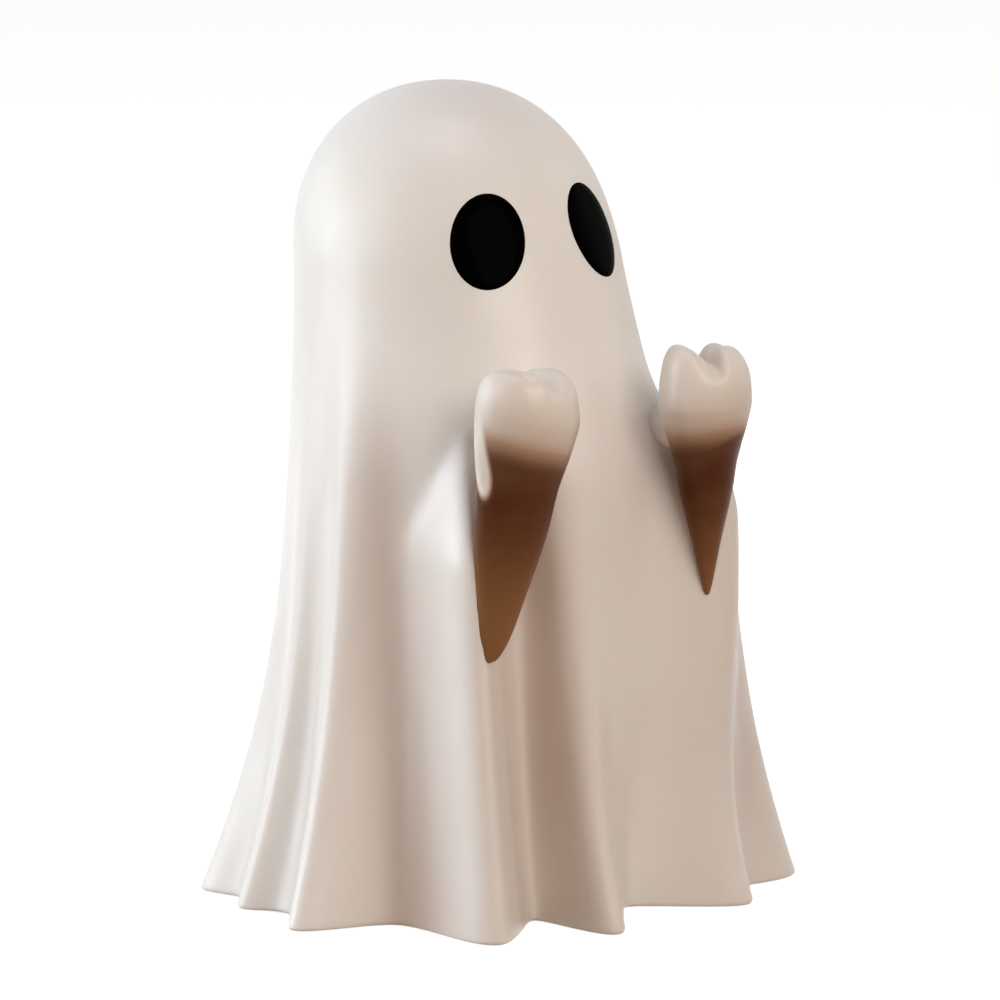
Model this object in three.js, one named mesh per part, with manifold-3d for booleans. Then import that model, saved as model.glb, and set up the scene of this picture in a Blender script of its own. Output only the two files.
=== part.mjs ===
// Ghost figurine: a hollow cast sheet, two raised arms, two glossy eyes and a closed, felted underside.
// Millimetres, +Z up, the face looks along -Y. Turns are in degrees from the front towards +X.
import * as THREE from 'three';
import { mergeVertices } from 'three/addons/utils/BufferGeometryUtils.js';
import Module from 'manifold-3d';

const wasm = await Module();
wasm.setup();

// Head and body
const height = 163.2;
const bodyWidth = 64.4;
const headRadius = bodyWidth / 2;
const waistGain = 2.2;
const waistRadius = headRadius + waistGain;
const waistDrop = 77;
const domeRise = 34.7;
const domeHeight = height - domeRise;
const crownShift = 3.2;
const crownShiftDrop = 45.2;
const crownShiftStart = height - crownShiftDrop;

// Skirt
const hemLift = 0.4;
const skirtTop = 70;
const skirtFlare = 11.3;
const flareEase = 2;

// Chest, which leans forward from the brow to the arms and settles back towards the hem
const browRise = 13.5;
const browHeight = domeHeight + browRise;
const chestLeanDrop = 55;
const chestLean = 13.5;
const chestNarrowing = 3;
const chestSettle = 0.45;
const settleTop = 92;
const settleEase = 1.5;

// Hands, which the sheet's corners hang beside
const handDrop = 25.5;
const handHeight = domeHeight - handDrop;
const handOut = 21.6;
const handReach = 22.4;
const handForward = headRadius + handReach;

// Sheet corners that hang outside each raised arm, from a shoulder above the hand down to the hem
const cornerDrop = 13;
const cornerTop = handHeight - cornerDrop;
const cornerSpreadEase = 0.8;
const cornerRiseEase = 2.5;
const rightCorner = {
  side: -1,
  hemTurn: -28,
  topTurn: -32.5,
  chestRise: 14,
  hemRise: 12,
  chestOuter: 10,
  chestInner: 4.5,
  hemOuter: 9,
  hemInner: 5.5,
  shoulderRise: -2,
  shoulderDrop: 28,
  firstSpread: 0.3,
};
const leftCorner = {
  side: 1,
  hemTurn: 33,
  topTurn: 32,
  chestRise: 10.8,
  hemRise: 11.5,
  chestOuter: 12,
  chestInner: 9,
  hemOuter: 8,
  hemInner: 6.5,
  shoulderRise: 9,
  shoulderDrop: 30,
  firstSpread: 1,
};

// A fold's turns at the hem and at its top, how far it stands out, its spreads to either side,
// the height it fades out at and the power it fades by
const fold = (hemTurn, topTurn, rise, rightSpread, leftSpread, top, fade) => (
  { hemTurn, topTurn, rise, rightSpread, leftSpread, top, fade }
);
const foldTopSpread = 0.7;

// Folds that show in front and at the sides
const middleFold = fold(-5, -6, 10.5, 5, 8.5, 110, 0.9);
const leftFold = fold(68, 48, 21.8, 14.5, 9.1, 97, 0.38);
const rightFold = fold(-69, -71, 11, 5.5, 8, 140, 1.7);
const rearFold = fold(-93, -91, 5, 6, 5, 128, 1.2);

// Folds round the back, evenly spaced and alternately tall and short
const backFoldCount = 7;
const backFoldStart = 90;
const backFoldPitch = 25.6;
const backFoldSpread = 7.5;
const backFoldRise = 6.4;
const tallFold = { top: 90, fade: 1.5 };
const shortFold = { top: 86, fade: 1.4 };

// Hollows between the front folds
const middleHollow = fold(-13, -14, -11, 6.5, 6, 104, 0.85);
const leftHollow = fold(17, 15, -9.4, 10, 8, 46, 1.2);
const sideHollow = fold(49, 48, -1.5, 6, 5, 45, 1.2);
const rightHollow = fold(-50, -53, -4.5, 8, 9, 112, 0.9);
const hollows = [middleHollow, leftHollow, sideHollow, rightHollow];

// Casting
const wall = 3.6;
const seatGap = 0.3;
const sheetColumns = 120;
const skirtRings = 20;
const domeRings = 9;
const cavityColumns = 72;
const cavitySkirtRings = 9;
const cavityDomeRings = 5;
const cutDepth = 1;

// Underside: a plate under a ledge inside the hem, with a felt sheet on it
const feltThickness = 1.2;
const plateThickness = 3;
const plateLedge = 2;
const feltMargin = 1.5;

// Eyes
const eyeTurn = 24;
const eyeRise = 7.7;
const eyeHeight = domeHeight + eyeRise;
const eyeHalfWidth = 7.6;
const eyeHalfHeight = 9.7;
const eyeDepth = 2.5;
const eyeStandOut = 0.4;
const eyeSides = 40;

// Arms: a closed hand over a drape that tapers down to a point on the sheet
const handHalfWidth = 10.5;
const handHalfDepth = 8.7;
const handTwist = 20;
const crownBox = 0.42;
const crownEase = 0.9;
const notchDepth = 4.6;
const notchInner = 3.6;
const notchOuter = 1.6;
const notchPoint = 1.5;
const notchStart = 4.5;
const notchFull = 7;
const notchTurn = 15;
const thumbAside = 7.3;
const thumbBehind = 2.2;
const thumbDrop = 3.4;
const thumbRadius = 3.1;
const thumbHalfLength = 11;
const thumbSides = 16;
const thumbRings = 10;
const tipAside = 5;
const tipBehind = 6;
const drapeBend = 0.85;
const drapeDepthEase = 0.9;
const rightArm = {
  side: -1,
  drapeLength: 48.4,
  fullness: 0.58,
  crownRise: 11.8,
  crownTilt: 0,
  forearmTurn: 25,
};
const leftArm = {
  side: 1,
  drapeLength: 40.6,
  fullness: 1,
  crownRise: 12.6,
  crownTilt: 1.5,
  forearmTurn: 0,
};
const wristPinch = 0.07;
const wristShare = 0.72;
const wristSpread = 0.12;
const drapeRings = 12;
const handRings = 9;
const armSides = 28;
const forearmRadius = 4.3;
const forearmDrop = 6;
const forearmReach = 24;
const seatStep = 0.1;
const pegSides = 6;
const pegAcrossCorners = 7;
const pegLength = 6;
const pegRoot = 5;

// Colours
const sheetFinish = new THREE.MeshStandardMaterial({ color: 0xf1ebe2, roughness: 0.36, metalness: 0 });
const armFinish = new THREE.MeshStandardMaterial({ color: 0xe2d4c2, roughness: 0.4, metalness: 0 });
const eyeFinish = new THREE.MeshStandardMaterial({ color: 0x050505, roughness: 0.12, metalness: 0 });
const plateFinish = new THREE.MeshStandardMaterial({ color: 0xe6ded2, roughness: 0.6, metalness: 0 });
const feltFinish = new THREE.MeshStandardMaterial({ color: 0xd9d2c6, roughness: 0.95, metalness: 0 });

const { clamp, degToRad, euclideanModulo, lerp, radToDeg } = THREE.MathUtils;
const ease = (share) => THREE.MathUtils.smoothstep(share, 0, 1);
const signedTurn = (turn) => euclideanModulo(turn + 180, 360) - 180;

// One lengthwise swelling of the sheet, zero at its top and full at the hem
function foldRise(turn, z, { hemTurn, topTurn, rise, rightSpread, leftSpread, top, fade }) {
  const share = clamp((top - z) / top, 0, 1);
  if (share === 0) return 0;
  const off = signedTurn(turn - lerp(topTurn, hemTurn, share));
  const side = off < 0 ? rightSpread : leftSpread;
  const spread = side * (1 + foldTopSpread * (1 - share));
  return rise * share ** fade * Math.exp(-((off / spread) ** 2));
}

// How far a corner stands out: a shoulder beside the hand that narrows to a ridge at the hem
function cornerRise(turn, z, corner) {
  const share = clamp((cornerTop - z) / cornerTop, 0, 1);
  const off = signedTurn(turn - lerp(corner.topTurn, corner.hemTurn, share));
  const [chestSpread, hemSpread] = off * corner.side > 0
    ? [corner.chestOuter, corner.hemOuter] : [corner.chestInner, corner.hemInner];
  const shoulder = ease((handHeight + corner.shoulderRise - z) / corner.shoulderDrop);
  const fullSpread = lerp(chestSpread, hemSpread, share ** cornerSpreadEase);
  const spread = fullSpread * lerp(corner.firstSpread, 1, shoulder);
  const rise = lerp(corner.chestRise, corner.hemRise, share ** cornerRiseEase);
  return rise * shoulder * Math.exp(-((off / spread) ** 2));
}

const backFolds = Array.from({ length: backFoldCount }, (_, i) => {
  const turn = backFoldStart + i * backFoldPitch;
  const { top, fade } = i % 2 ? tallFold : shortFold;
  return fold(turn, turn, backFoldRise, backFoldSpread, backFoldSpread, top, fade);
});
const folds = [middleFold, leftFold, rightFold, rearFold, ...backFolds];

// The body without its standing folds: round behind, full in front, with the hollows pressed in
function coreRadius(turn, z) {
  const facing = 0.5 + 0.5 * Math.cos(degToRad(turn));
  const body = lerp(headRadius, waistRadius, ease((domeHeight - z) / waistDrop));
  const flare = skirtFlare * clamp((skirtTop - z) / skirtTop, 0, 1) ** flareEase;
  const settle = 1 - chestSettle * clamp((settleTop - z) / settleTop, 0, 1) ** settleEase;
  const lean = chestLean * ease((browHeight - z) / chestLeanDrop) * facing ** chestNarrowing * settle;
  const pressed = hollows.reduce((sum, each) => sum + foldRise(turn, z, each), 0);
  return body + flare + lean + pressed;
}

function sheetRadius(turn, z) {
  const rises = folds.reduce((sum, each) => sum + foldRise(turn, z, each), 0);
  return coreRadius(turn, z) + rises + cornerRise(turn, z, rightCorner) + cornerRise(turn, z, leftCorner);
}

// The head's axis moves back as it rises
const axisShift = (z) => crownShift * ease((z - crownShiftStart) / (height - crownShiftStart));

// A point at a turn and radius about the leaning axis
function sheetPoint(turn, radius, z) {
  const angle = degToRad(turn);
  return new THREE.Vector3(radius * Math.sin(angle), axisShift(z) - radius * Math.cos(angle), z);
}

// A closed skin from rings of points, with a fan at each end
function ringedGeometry(rings, start, end) {
  const sides = rings[0].length;
  const points = [start, ...rings.flat(), end];
  const triangles = [];
  const last = points.length - 1;
  for (let j = 0; j < sides; j += 1) {
    const next = (j + 1) % sides;
    triangles.push(0, 1 + next, 1 + j);
    for (let i = 0; i + 1 < rings.length; i += 1) {
      const low = 1 + i * sides;
      const high = low + sides;
      triangles.push(low + j, low + next, high + next, low + j, high + next, high + j);
    }
    triangles.push(last, last - sides + j, last - sides + next);
  }
  const geometry = new THREE.BufferGeometry();
  const positions = points.flatMap((point) => point.toArray());
  geometry.setAttribute('position', new THREE.Float32BufferAttribute(positions, 3));
  geometry.setIndex(triangles);
  return geometry;
}

function toSolid(geometry) {
  const bare = geometry.clone();
  bare.deleteAttribute('normal');
  bare.deleteAttribute('uv');
  const welded = mergeVertices(bare, 1e-4);
  const vertProperties = Float32Array.from(welded.attributes.position.array);
  const triVerts = Uint32Array.from(welded.index.array);
  return new wasm.Manifold(new wasm.Mesh({ numProp: 3, vertProperties, triVerts }));
}

function toMesh(name, solid, material) {
  const { vertProperties, triVerts } = solid.getMesh();
  const geometry = new THREE.BufferGeometry();
  geometry.setAttribute('position', new THREE.BufferAttribute(vertProperties, 3));
  geometry.setIndex(new THREE.BufferAttribute(triVerts, 1));
  geometry.computeVertexNormals();
  const mesh = new THREE.Mesh(geometry, material);
  mesh.name = name;
  return mesh;
}

// The filled form under a domed radius function, from its floor to its top
function drapedSolid(radiusAt, floor, top, columns, lowRings, highRings) {
  const rings = [];
  for (let i = 0; i < lowRings + highRings; i += 1) {
    const climb = Math.max(0, (i - lowRings) / highRings) * (Math.PI / 2);
    const low = lerp(floor, domeHeight, Math.min(1, i / lowRings));
    const z = low + (top - domeHeight) * Math.sin(climb);
    const ring = Array.from({ length: columns }, (_, j) => {
      const turn = (360 * j) / columns;
      return sheetPoint(turn, radiusAt(turn, z) * Math.cos(climb), z);
    });
    rings.push(ring);
  }
  return toSolid(ringedGeometry(rings, new THREE.Vector3(0, 0, floor), sheetPoint(0, 0, top)));
}

const grownSheet = (growth) => drapedSolid(
  (turn, z) => sheetRadius(turn, z) + growth,
  hemLift, height + growth, sheetColumns, skirtRings, domeRings,
);

// Underside heights, from the floor up
const plateUnderside = feltThickness + seatGap;
const plateTop = plateUnderside + plateThickness;
const ledgeHeight = plateTop + seatGap;

const cavityRadius = (turn, z) => coreRadius(turn, z) - wall;

// A flat disc that follows the inside of the hem
function undersideDisc(margin, thickness, z) {
  const outline = Array.from({ length: cavityColumns }, (_, i) => {
    const turn = (360 * i) / cavityColumns;
    const point = sheetPoint(turn, cavityRadius(turn, ledgeHeight) + margin, 0);
    return new THREE.Vector2(point.x, point.y);
  });
  const disc = new THREE.ExtrudeGeometry(new THREE.Shape(outline), { depth: thickness, bevelEnabled: false });
  disc.translate(0, 0, z);
  return toSolid(disc);
}

// The face of an eye: its place on the sheet and the frame that its ellipse is drawn in
function eyeFrame(side) {
  const domeShare = (z) => Math.sqrt(1 - (Math.max(0, z - domeHeight) / domeRise) ** 2);
  const onSheet = (turn, z) => sheetPoint(turn, sheetRadius(turn, z) * domeShare(z), z);
  const turn = side * eyeTurn;
  const centre = onSheet(turn, eyeHeight);
  const up = onSheet(turn, eyeHeight + 1).sub(onSheet(turn, eyeHeight - 1)).normalize();
  const across = onSheet(turn + 1, eyeHeight).sub(onSheet(turn - 1, eyeHeight)).normalize();
  const out = new THREE.Vector3().crossVectors(across, up).normalize();
  const straightUp = new THREE.Vector3().crossVectors(out, across).normalize();
  return new THREE.Matrix4().makeBasis(across, straightUp, out).setPosition(centre);
}

// An elliptical plug square to the sheet, from a depth below its surface to well above it
function eyePlug(side, growth, depth) {
  const reach = eyeHalfHeight;
  const plug = new THREE.CylinderGeometry(1, 1, depth + reach, eyeSides);
  plug.rotateX(Math.PI / 2);
  plug.translate(0, 0, (reach - depth) / 2);
  plug.scale(eyeHalfWidth + growth, eyeHalfHeight + growth, 1);
  plug.applyMatrix4(eyeFrame(side));
  return toSolid(plug);
}

const upright = new THREE.Vector3(0, 0, 1);

// The closed hand and the drape under it, as rings from the drape's tip up to the crown
function armForm({ side, drapeLength, fullness, crownRise, crownTilt }) {
  const hand = new THREE.Vector3(side * handOut, -handForward, handHeight);
  const tip = hand.clone().add(new THREE.Vector3(side * tipAside, tipBehind, -drapeLength));
  const crown = hand.clone().setZ(handHeight + crownRise);
  const twist = side * degToRad(handTwist);
  const notch = (point) => {
    const angle = degToRad(notchTurn);
    const off = side * (point.x - hand.x) * Math.cos(angle) - (point.y - hand.y) * Math.sin(angle);
    const width = off > 0 ? notchOuter : notchInner;
    const lift = ease((point.z - handHeight - notchStart) / notchFull);
    const bell = Math.exp(-((Math.abs(off) / width) ** notchPoint));
    return lift * (notchDepth * bell + (crownTilt * off) / handHalfWidth);
  };
  const rings = [];
  for (let i = 1; i < drapeRings + handRings; i += 1) {
    const share = Math.min(1, i / drapeRings);
    const climb = Math.max(0, (i - drapeRings) / handRings) * (Math.PI / 2);
    const pinch = 1 - wristPinch * Math.exp(-(((share - wristShare) / wristSpread) ** 2));
    const closing = pinch * Math.cos(climb) ** crownBox;
    const width = handHalfWidth * share ** fullness * closing;
    const depth = handHalfDepth * share ** drapeDepthEase * closing;
    const centre = tip.clone().lerp(hand, share ** drapeBend);
    centre.z = lerp(tip.z, hand.z, share) + crownRise * Math.sin(climb) ** crownEase;
    rings.push(Array.from({ length: armSides }, (_, j) => {
      const angle = (2 * Math.PI * j) / armSides;
      const point = new THREE.Vector3(width * Math.cos(angle), depth * Math.sin(angle), 0);
      point.applyAxisAngle(upright, twist).add(centre);
      point.z -= notch(point);
      return point;
    }));
  }
  crown.z -= notch(crown);
  return toSolid(ringedGeometry(rings, tip, crown));
}

// The forearm's line, along its own +Y: level, from under the hand back into the sheet
function forearmLine({ side, forearmTurn }) {
  const line = new THREE.Matrix4().makeRotationZ(side * degToRad(forearmTurn));
  return line.setPosition(side * handOut, -handForward, handHeight - forearmDrop);
}

// A round or six-sided bar along the forearm's line, between two distances from the hand
function forearmBar(arm, radius, from, to, sides) {
  const bar = new THREE.CylinderGeometry(radius, radius, to - from, sides);
  bar.translate(0, (from + to) / 2, 0);
  bar.applyMatrix4(forearmLine(arm));
  return toSolid(bar);
}

// How far along its line the forearm's centre meets the sheet
function seatDistance(arm) {
  const line = forearmLine(arm);
  const outside = (distance) => {
    const { x, y, z } = new THREE.Vector3(0, distance, 0).applyMatrix4(line);
    return Math.hypot(x, y) > sheetRadius(radToDeg(Math.atan2(x, -y)), z);
  };
  let distance = 0;
  while (outside(distance)) distance += seatStep;
  return distance;
}

function armPeg(arm, growth) {
  const seat = seatDistance(arm);
  return forearmBar(arm, pegAcrossCorners / 2 + growth, seat - pegRoot, seat + pegLength + growth, pegSides);
}

function thumb(side) {
  const ball = new THREE.SphereGeometry(1, thumbSides, thumbRings);
  ball.scale(thumbRadius, thumbRadius, thumbHalfLength);
  ball.translate(side * (handOut + thumbAside), thumbBehind - handForward, handHeight - thumbDrop);
  return toSolid(ball);
}

function armSolid(arm) {
  const forearm = forearmBar(arm, forearmRadius, 0, forearmReach, armSides);
  const shown = armForm(arm).add(thumb(arm.side)).add(forearm).subtract(grownSheet(seatGap));
  return shown.add(armPeg(arm, 0));
}

function sheetShell() {
  const cavity = drapedSolid(
    cavityRadius,
    hemLift - cutDepth, height - wall, cavityColumns, cavitySkirtRings, cavityDomeRings,
  );
  const rebate = undersideDisc(plateLedge + seatGap, ledgeHeight, 0);
  const cuts = [rightArm, leftArm].flatMap((arm) => [
    armPeg(arm, seatGap),
    eyePlug(arm.side, seatGap, eyeDepth + seatGap),
  ]);
  return [cavity, rebate, ...cuts].reduce((shell, cut) => shell.subtract(cut), grownSheet(0));
}

const eyeSolid = (side) => eyePlug(side, 0, eyeDepth).intersect(grownSheet(eyeStandOut));

const figurine = new THREE.Group();
figurine.name = 'ghost_figurine';
figurine.add(
  toMesh('sheet_shell', sheetShell(), sheetFinish),
  toMesh('right_arm', armSolid(rightArm), armFinish),
  toMesh('left_arm', armSolid(leftArm), armFinish),
  toMesh('right_eye', eyeSolid(rightArm.side), eyeFinish),
  toMesh('left_eye', eyeSolid(leftArm.side), eyeFinish),
  toMesh('base_plate', undersideDisc(plateLedge, plateThickness, plateUnderside), plateFinish),
  toMesh('base_felt', undersideDisc(plateLedge - feltMargin, feltThickness, 0), feltFinish),
);

export default figurine;
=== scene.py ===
import logging
import math
from dataclasses import dataclass
from enum import Enum

import bpy
import numpy as np
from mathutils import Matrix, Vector


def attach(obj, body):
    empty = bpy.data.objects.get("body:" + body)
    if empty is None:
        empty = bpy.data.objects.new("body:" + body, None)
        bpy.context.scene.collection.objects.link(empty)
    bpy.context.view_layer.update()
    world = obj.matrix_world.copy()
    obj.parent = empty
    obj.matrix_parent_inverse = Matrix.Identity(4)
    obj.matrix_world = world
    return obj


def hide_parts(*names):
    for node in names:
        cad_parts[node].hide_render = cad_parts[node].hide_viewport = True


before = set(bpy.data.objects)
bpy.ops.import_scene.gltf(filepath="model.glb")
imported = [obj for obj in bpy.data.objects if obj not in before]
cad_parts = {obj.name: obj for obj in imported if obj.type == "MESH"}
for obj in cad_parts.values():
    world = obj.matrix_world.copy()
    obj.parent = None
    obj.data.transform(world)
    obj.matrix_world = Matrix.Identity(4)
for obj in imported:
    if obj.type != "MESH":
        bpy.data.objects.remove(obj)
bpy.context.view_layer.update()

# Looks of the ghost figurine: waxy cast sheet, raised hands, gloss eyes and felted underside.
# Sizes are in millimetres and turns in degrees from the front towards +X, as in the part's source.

MM = 0.001
BODY = "root"
LOG = logging.getLogger("ghost_figurine")
# The level direction across the photo's view, from its left to its right.
ACROSS_VIEW = np.array([0.814, -0.581, 0.0])
WHITE_LIGHT = {"Color": (1.0, 1.0, 1.0, 1.0), "Strength": 1.0}
# The part of a noise pattern's values that a finish stretches over its own range.
PATCHY, EVEN, MOTTLED = (0.35, 0.7), (0.3, 0.7), (0.35, 0.65)

Array = np.ndarray
Colour = tuple[float, float, float]
Item = bpy.types.Object
Material = bpy.types.Material
Shader = bpy.types.ShaderNode
Socket = bpy.types.NodeSocket
Span = tuple[float, float]
Tree = bpy.types.NodeTree


def smooth(share: Array) -> Array:
    """Ease a share, clipped to 0 and 1, with flat ends: three squares less two cubes."""
    clipped = np.clip(share, 0.0, 1.0)
    return clipped * clipped * (3.0 - 2.0 * clipped)


def signed_turn(turn: Array) -> Array:
    """Bring turns in degrees to between -180 and 180."""
    return (turn + 180.0) % 360.0 - 180.0


def lerp(start: float, end: float, share: Array) -> Array:
    """Go from start to end by a share."""
    return start + (end - start) * share


def way_round(count: int) -> Array:
    """Even angles all the way round, in radians, as a row."""
    return np.linspace(0.0, 2 * math.pi, count, endpoint=False)[None, :]


def direction(turn: float, rise: float) -> Vector:
    """The direction away from the figure at a turn from the front and a rise above level.

    Args:
        turn: Degrees from the front towards +X.
        rise: Degrees above level.

    Returns:
        A direction of length 1.
    """
    angle, lift = math.radians(turn), math.radians(rise)
    level = math.cos(lift)
    return Vector((math.sin(angle) * level, -math.cos(angle) * level, math.sin(lift)))


@dataclass(frozen=True)
class Fold:
    """A lengthwise swelling or hollow of the sheet, nothing at its top and full at the hem."""

    hem_turn: float
    top_turn: float
    rise: float
    right_spread: float
    left_spread: float
    top: float
    ease: float
    run_in: float = 0.5

    def height(self, turn: Array, z: Array, top_spread: float) -> Array:
        """How far the fold stands out: its rise times a power of the drop, times a bell across it.

        Args:
            turn: Turns in degrees.
            z: Heights in millimetres.
            top_spread: How much wider the fold is at its top than at the hem.

        Returns:
            The rise in millimetres.
        """
        share = np.clip((self.top - z) / self.top, 0.0, 1.0)
        off = signed_turn(turn - lerp(self.top_turn, self.hem_turn, share))
        spread = np.where(off < 0, self.right_spread, self.left_spread)
        spread = spread * (1 + top_spread * (1 - share))
        start = smooth((self.top - z) / self.run_in)
        return self.rise * start * share ** self.ease * np.exp(-((off / spread) ** 2))


@dataclass(frozen=True)
class Corner:
    """The sheet's corner that hangs outside one raised arm."""

    side: int
    hem_turn: float
    top_turn: float
    chest_rise: float
    hem_rise: float
    hem_outer: float
    hem_inner: float
    shoulder: float
    shoulder_drop: float
    chest_outer: float
    chest_inner: float
    first_spread: float = 1.0
    top: float = 90.0
    spread_ease: float = 0.8
    rise_ease: float = 2.5

    def height(self, turn: Array, z: Array) -> Array:
        """How far the corner stands out: an eased shoulder times a bell with unlike sides.

        Args:
            turn: Turns in degrees.
            z: Heights in millimetres.

        Returns:
            The rise in millimetres.
        """
        share = np.clip((self.top - z) / self.top, 0.0, 1.0)
        off = signed_turn(turn - lerp(self.top_turn, self.hem_turn, share))
        blend = share ** self.spread_ease
        spread = np.where(
            off * self.side > 0,
            lerp(self.chest_outer, self.hem_outer, blend),
            lerp(self.chest_inner, self.hem_inner, blend),
        )
        rise = lerp(self.chest_rise, self.hem_rise, share ** self.rise_ease)
        lift = smooth((self.shoulder - z) / self.shoulder_drop)
        spread = spread * lerp(self.first_spread, 1.0, lift)
        return rise * lift * np.exp(-((off / spread) ** 2))


def back_folds() -> list[Fold]:
    """Seven even folds round the back, which start at two heights in turn.

    Returns:
        The folds, from the left flank round the back to the right one.
    """
    first, pitch, count, rise, spread = 90.0, 25.6, 7, 6.4, 7.5
    starts = ((86.0, 1.4), (90.0, 1.5))
    turns = [first + index * pitch for index in range(count)]
    return [
        Fold(turn, turn, rise, spread, spread, *starts[index % 2])
        for index, turn in enumerate(turns)
    ]


@dataclass(frozen=True)
class SheetForm:
    """The draped sheet's outer face as a radius about the head's axis."""

    height: float = 162.4
    dome_height: float = 128.5
    dome_fullness: float = 0.93
    head_radius: float = 32.2
    waist_radius: float = 34.4
    waist_drop: float = 77.0
    crown_shift: float = 3.2
    crown_shift_start: float = 118.0
    hem_lift: float = 0.4
    skirt_top: float = 70.0
    skirt_flare: float = 11.3
    flare_power: int = 2
    brow_height: float = 142.0
    chest_lean_drop: float = 55.0
    chest_lean: float = 13.5
    lean_power: int = 3
    chest_settle: float = 0.45
    settle_top: float = 92.0
    settle_ease: float = 1.5
    fold_top_spread: float = 0.7
    corners: tuple[Corner, ...] = (
        Corner(
            -1, hem_turn=-28, top_turn=-32.5, chest_rise=14, hem_rise=12, hem_outer=9,
            hem_inner=5.5, shoulder=101, shoulder_drop=28, chest_outer=10.0, chest_inner=4.5,
            first_spread=0.3,
        ),
        Corner(
            1, hem_turn=33, top_turn=32, chest_rise=9.3, hem_rise=12, hem_outer=11.6,
            hem_inner=6.5, shoulder=112, shoulder_drop=34, chest_outer=10.9, chest_inner=9.0,
        ),
    )
    folds: tuple[Fold, ...] = (
        Fold(-5, -12, 10.5, 5, 6.5, 110, 0.9),
        Fold(62, 46, 20.5, 13.4, 16, 101, 0.4, run_in=15.0),
        Fold(-69, -71, 11, 5.5, 8, 140, 1.7),
        Fold(-93, -91, 5, 6, 5, 128, 1.2),
    )
    hollows: tuple[Fold, ...] = (
        Fold(-13, -18, -11, 6.5, 6, 104, 0.85),
        Fold(17, 15, -9.4, 10, 8, 46, 1.2),
        Fold(49, 48, -1.4, 6, 5, 45, 1.2),
        Fold(-50, -53, -4.5, 8, 9, 112, 0.9),
    )

    def core(self, turn: Array, z: Array) -> Array:
        """The body without its standing folds: round behind, full in front, hollows pressed in.

        Args:
            turn: Turns in degrees.
            z: Heights in millimetres.

        Returns:
            The radius in millimetres.
        """
        facing = 0.5 + 0.5 * np.cos(np.radians(turn))
        waist = smooth((self.dome_height - z) / self.waist_drop)
        body = lerp(self.head_radius, self.waist_radius, waist)
        drop = np.clip((self.skirt_top - z) / self.skirt_top, 0.0, 1.0)
        sink = np.clip((self.settle_top - z) / self.settle_top, 0.0, 1.0)
        settle = 1 - self.chest_settle * sink ** self.settle_ease
        brow = smooth((self.brow_height - z) / self.chest_lean_drop)
        lean = self.chest_lean * brow * facing ** self.lean_power * settle
        pressed = sum(hollow.height(turn, z, self.fold_top_spread) for hollow in self.hollows)
        return body + self.skirt_flare * drop ** self.flare_power + lean + pressed

    def radius(self, turn: Array, z: Array) -> Array:
        """The outer radius: the core, its folds and its two corners.

        Args:
            turn: Turns in degrees.
            z: Heights in millimetres.

        Returns:
            The radius in millimetres.
        """
        standing = (*self.folds, *back_folds())
        folds = sum(fold.height(turn, z, self.fold_top_spread) for fold in standing)
        corners = sum(corner.height(turn, z) for corner in self.corners)
        return self.core(turn, z) + folds + corners

    def axis_shift(self, z: Array) -> Array:
        """How far the head's axis lies behind the figure's at a height."""
        climb = (z - self.crown_shift_start) / (self.height - self.crown_shift_start)
        return self.crown_shift * smooth(climb)

    def dome_share(self, z: Array) -> Array:
        """How much of the radius is left at a height as the dome closes."""
        rise = np.clip((z - self.dome_height) / (self.height - self.dome_height), 0.0, 1.0)
        return (1 - rise ** 2) ** (self.dome_fullness / 2)

    def place(self, turn: Array, radius: Array, z: Array) -> Array:
        """Points at a turn and a radius about the leaning axis.

        Args:
            turn: Turns in degrees.
            radius: Radii in millimetres.
            z: Heights in millimetres.

        Returns:
            Points in millimetres, with the coordinates last.
        """
        angle = np.radians(turn)
        x = radius * np.sin(angle)
        y = self.axis_shift(z) - radius * np.cos(angle)
        return np.stack(np.broadcast_arrays(x, y, z), axis=-1)

    def polar(self, points: Array) -> tuple[Array, Array, Array]:
        """The turns, the radii about the leaning axis and the heights of points.

        Args:
            points: Points in millimetres, with the coordinates last.

        Returns:
            Turns in degrees, and radii and heights in millimetres.
        """
        z = points[..., 2]
        y = points[..., 1] - self.axis_shift(z)
        return np.degrees(np.arctan2(points[..., 0], -y)), np.hypot(points[..., 0], y), z

    def gap(self, points: Array) -> Array:
        """How many millimetres points lie outside the sheet along the radius, negative inside."""
        turn, radius, z = self.polar(points)
        return radius - self.radius(turn, z) * self.dome_share(z)


def add_object(name: str, data: bpy.types.ID) -> Item:
    """Put a mesh, lamp or camera into the scene.

    Args:
        name: The object's name.
        data: The mesh, lamp or camera.

    Returns:
        The new object, at the origin.
    """
    item = bpy.data.objects.new(name, data)
    bpy.context.scene.collection.objects.link(item)
    return item


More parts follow.
